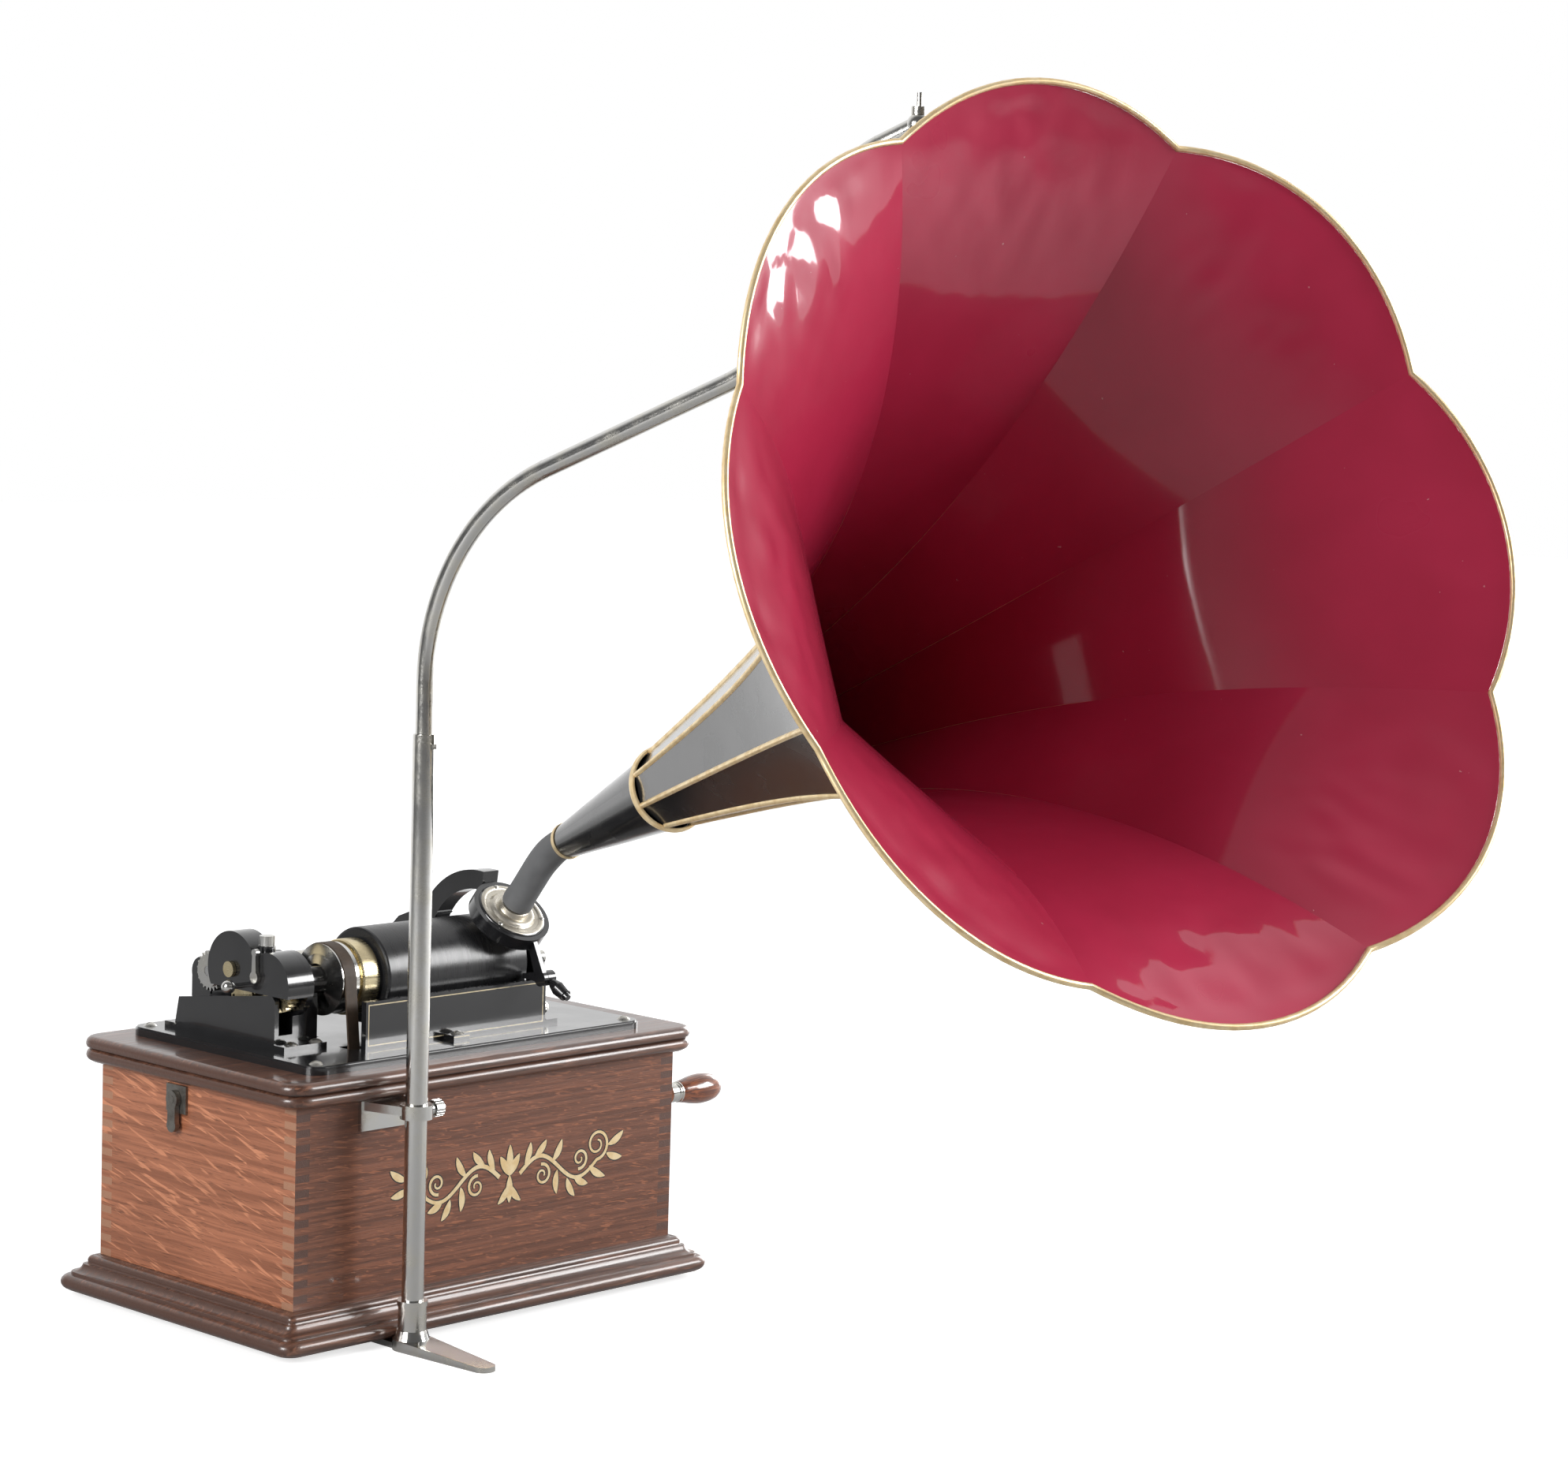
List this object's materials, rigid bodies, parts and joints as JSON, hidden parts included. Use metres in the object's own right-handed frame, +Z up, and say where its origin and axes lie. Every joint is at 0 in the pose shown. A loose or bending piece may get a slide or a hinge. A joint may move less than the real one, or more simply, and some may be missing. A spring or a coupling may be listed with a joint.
{
  "type": "cylinder phonograph",
  "caption": "Spring-driven cylinder phonograph in an oak cabinet, with a crank, a sliding reproducer and a flower-shaped horn hung from a bent crane by a chain.",
  "frame": {"origin": "centre of the cabinet's footprint, on the table, on the underside of the bottom board", "axes": "+X to the right along the cabinet's front, -Y out of the front, +Z up"},
  "size_m": [0.5112, 0.8123, 0.6931],
  "materials": {
    "dark_oak": "dark stained and varnished oak",
    "side_oak": "varnished quarter-sawn oak",
    "plain_wood": "oiled oak",
    "turned_wood": "stained and polished turned wood",
    "japanned": "glossy black japanned iron",
    "pinstriped": "glossy black with a thin gold line border",
    "nickel": "nickel plate",
    "satin_nickel": "worn nickel plate",
    "brass": "lacquered brass",
    "steel": "turned steel",
    "iron": "machined cast iron",
    "belt_leather": "dark leather",
    "wax": "black grooved record",
    "grey_rubber": "grey rubber",
    "horn_black": "glossy black enamel",
    "horn_crimson": "crimson enamel inside, black enamel outside",
    "horn_gold": "gold bronze paint"
  },
  "bodies": {
    "cabinet": {"base_moulding": "dark_oak", "bottom_board": "plain_wood", "front_wall": "side_oak", "back_wall": "side_oak", "left_wall": "side_oak", "right_wall": "side_oak", "top_board": "dark_oak", "rear_hinges": "brass", "catch_plate": "satin_nickel", "crank_escutcheon": "brass", "bedplate": "japanned", "machine_screws": "satin_nickel", "gear_housing": "japanned", "gear_cover": "japanned", "right_post": "japanned", "guide_rod": "nickel", "apron": "pinstriped", "belt": "belt_leather", "motor_frame": "iron", "crane_foot": "nickel", "crane_tube": "nickel", "crane_rod": "nickel", "crane_bracket": "nickel"},
    "mandrel": {"mandrel": "japanned", "mandrel_shaft": "steel", "mandrel_pulley": "nickel", "mandrel_collar": "brass", "mandrel_gear": "brass", "record": "wax"},
    "idler": {"idler_gear": "brass"},
    "feed": {"feed_screw": "steel", "feed_gear": "nickel"},
    "motor_shaft": {"motor_shaft": "steel"},
    "barrel": {"spring_barrel": "brass"},
    "governor": {"governor": "brass"},
    "crank": {"crank_arm": "nickel"},
    "arbor": {"barrel_arbor": "steel"},
    "knob": {"crank_knob": "turned_wood"},
    "gate": {"end_gate": "japanned"},
    "latch": {"gate_latch": "nickel"},
    "catch": {"catch_lever": "satin_nickel"},
    "start": {"start_lever": "nickel"},
    "shift": {"shift_knob": "nickel"},
    "speed": {"speed_screw": "nickel"},
    "clamp_screw": {"crane_screw": "nickel"},
    "sleeve": {"carriage_sleeve": "nickel"},
    "arm": {"carriage": "japanned", "half_nut": "brass", "reproducer": "nickel"},
    "weight": {"stylus_weight": "satin_nickel"},
    "lift": {"lift_lever": "japanned"},
    "elbow": {"elbow": "grey_rubber"},
    "horn": {"horn_cone": "horn_black", "horn_panels": "horn_crimson", "horn_mouth": "horn_crimson", "horn_seams": "horn_gold", "horn_ring": "horn_gold", "horn_rim": "horn_gold", "horn_eyelet": "horn_gold"},
    "hanger": {"hanger_chain": "satin_nickel"}
  },
  "joints": [
    {"name": "mandrel_spin", "type": "hinge", "parent": "cabinet", "child": "mandrel", "pos_m": [0, -0.025, 0.196], "axis": [1, 0, 0], "continuous": true},
    {"name": "idler_spin", "type": "hinge", "parent": "cabinet", "child": "idler", "pos_m": [-0.107, 0.00753, 0.20153], "axis": [1, 0, 0], "continuous": true},
    {"name": "feed_spin", "type": "hinge", "parent": "cabinet", "child": "feed", "pos_m": [0, 0.036, 0.196], "axis": [1, 0, 0], "continuous": true},
    {"name": "motor_spin", "type": "hinge", "parent": "cabinet", "child": "motor_shaft", "pos_m": [0, -0.03, 0.108], "axis": [1, 0, 0], "continuous": true},
    {"name": "barrel_spin", "type": "hinge", "parent": "cabinet", "child": "barrel", "pos_m": [0, 0.01611, 0.08396], "axis": [1, 0, 0], "continuous": true},
    {"name": "governor_spin", "type": "hinge", "parent": "cabinet", "child": "governor", "pos_m": [0, -0.0492, 0.0824], "axis": [1, 0, 0], "continuous": true},
    {"name": "crank_turn", "type": "hinge", "parent": "cabinet", "child": "crank", "pos_m": [0, 0.0181, 0.10386], "axis": [1, 0, 0], "continuous": true},
    {"name": "arbor_turn", "type": "hinge", "parent": "cabinet", "child": "arbor", "pos_m": [0, 0.01611, 0.08396], "axis": [1, 0, 0], "continuous": true},
    {"name": "knob_turn", "type": "hinge", "parent": "crank", "child": "knob", "pos_m": [0.185, -0.06387, 0.10586], "axis": [1, 0, 0], "continuous": true},
    {"name": "gate_swing", "type": "hinge", "parent": "cabinet", "child": "gate", "pos_m": [0.069, 0.016, 0.1795], "axis": [0, 0, 1], "range_deg": [0, 90]},
    {"name": "latch_turn", "type": "hinge", "parent": "gate", "child": "latch", "pos_m": [0.074, -0.046, 0.1975], "axis": [1, 0, 0], "range_deg": [-60, 0]},
    {"name": "catch_turn", "type": "hinge", "parent": "cabinet", "child": "catch", "pos_m": [-0.149, 0.017, 0.1285], "axis": [1, 0, 0], "range_deg": [0, 90]},
    {"name": "start_turn", "type": "hinge", "parent": "cabinet", "child": "start", "pos_m": [-0.118, -0.016, 0.2], "axis": [1, 0, 0], "range_deg": [-20, 20]},
    {"name": "shift_pull", "type": "slide", "parent": "cabinet", "child": "shift", "axis": [-1, 0, 0], "range_m": [0, 0.003]},
    {"name": "speed_turn", "type": "hinge", "parent": "cabinet", "child": "speed", "pos_m": [-0.1085, -0.014, 0.21678], "axis": [0, 0, 1], "range_deg": [-180, 180]},
    {"name": "clamp_turn", "type": "hinge", "parent": "cabinet", "child": "clamp_screw", "pos_m": [-0.0725, -0.118, 0.135], "axis": [1, 0, 0], "range_deg": [-180, 0]},
    {"name": "carriage_slide", "type": "slide", "parent": "cabinet", "child": "sleeve", "axis": [1, 0, 0], "range_m": [-0.092, 0.003]},
    {"name": "arm_lift", "type": "hinge", "parent": "sleeve", "child": "arm", "pos_m": [0.0465, 0.054, 0.192], "axis": [-1, 0, 0], "range_deg": [0, 4]},
    {"name": "weight_float", "type": "hinge", "parent": "arm", "child": "weight", "pos_m": [0.0465, -0.03239, 0.22982], "axis": [-1, 0, 0], "range_deg": [0, 2.5]},
    {"name": "lever_turn", "type": "hinge", "parent": "arm", "child": "lift", "pos_m": [0.054, -0.074, 0.1905], "axis": [-1, 0, 0], "range_deg": [0, 26]},
    {"name": "horn_tilt", "type": "hinge", "parent": "arm", "child": "elbow", "pos_m": [0.0465, -0.0809, 0.26755], "axis": [-1, 0, 0], "range_deg": [-6, 0.5], "deforming": ["elbow"]},
    {"name": "horn_yaw", "type": "hinge", "parent": "elbow", "child": "horn", "pos_m": [0.0465, -0.0809, 0.26755], "axis": [0, 0, 1], "range_deg": [-1, 16]},
    {"name": "chain_swing", "type": "hinge", "parent": "cabinet", "child": "hanger", "pos_m": [-0.03802, -0.42604, 0.65287], "axis": [1, 0, 0], "range_deg": [-5, 0.5]}
  ],
  "couplings": [
    {"joint": "idler_spin", "follows": "mandrel_spin", "ratio": -0.83333},
    {"joint": "feed_spin", "follows": "mandrel_spin", "ratio": 1.3636},
    {"joint": "motor_spin", "follows": "mandrel_spin", "ratio": 0.83333},
    {"joint": "barrel_spin", "follows": "mandrel_spin", "ratio": -0.19841},
    {"joint": "governor_spin", "follows": "mandrel_spin", "ratio": -3.6111},
    {"joint": "arbor_turn", "follows": "crank_turn", "ratio": -0.53846},
    {"joint": "lever_turn", "follows": "arm_lift", "ratio": 6.4},
    {"joint": "horn_tilt", "follows": "arm_lift", "ratio": -1.392},
    {"joint": "horn_yaw", "follows": "carriage_slide", "rad_per_m": -2.854},
    {"joint": "chain_swing", "follows": "carriage_slide", "rad_per_m": 0.9}
  ]
}
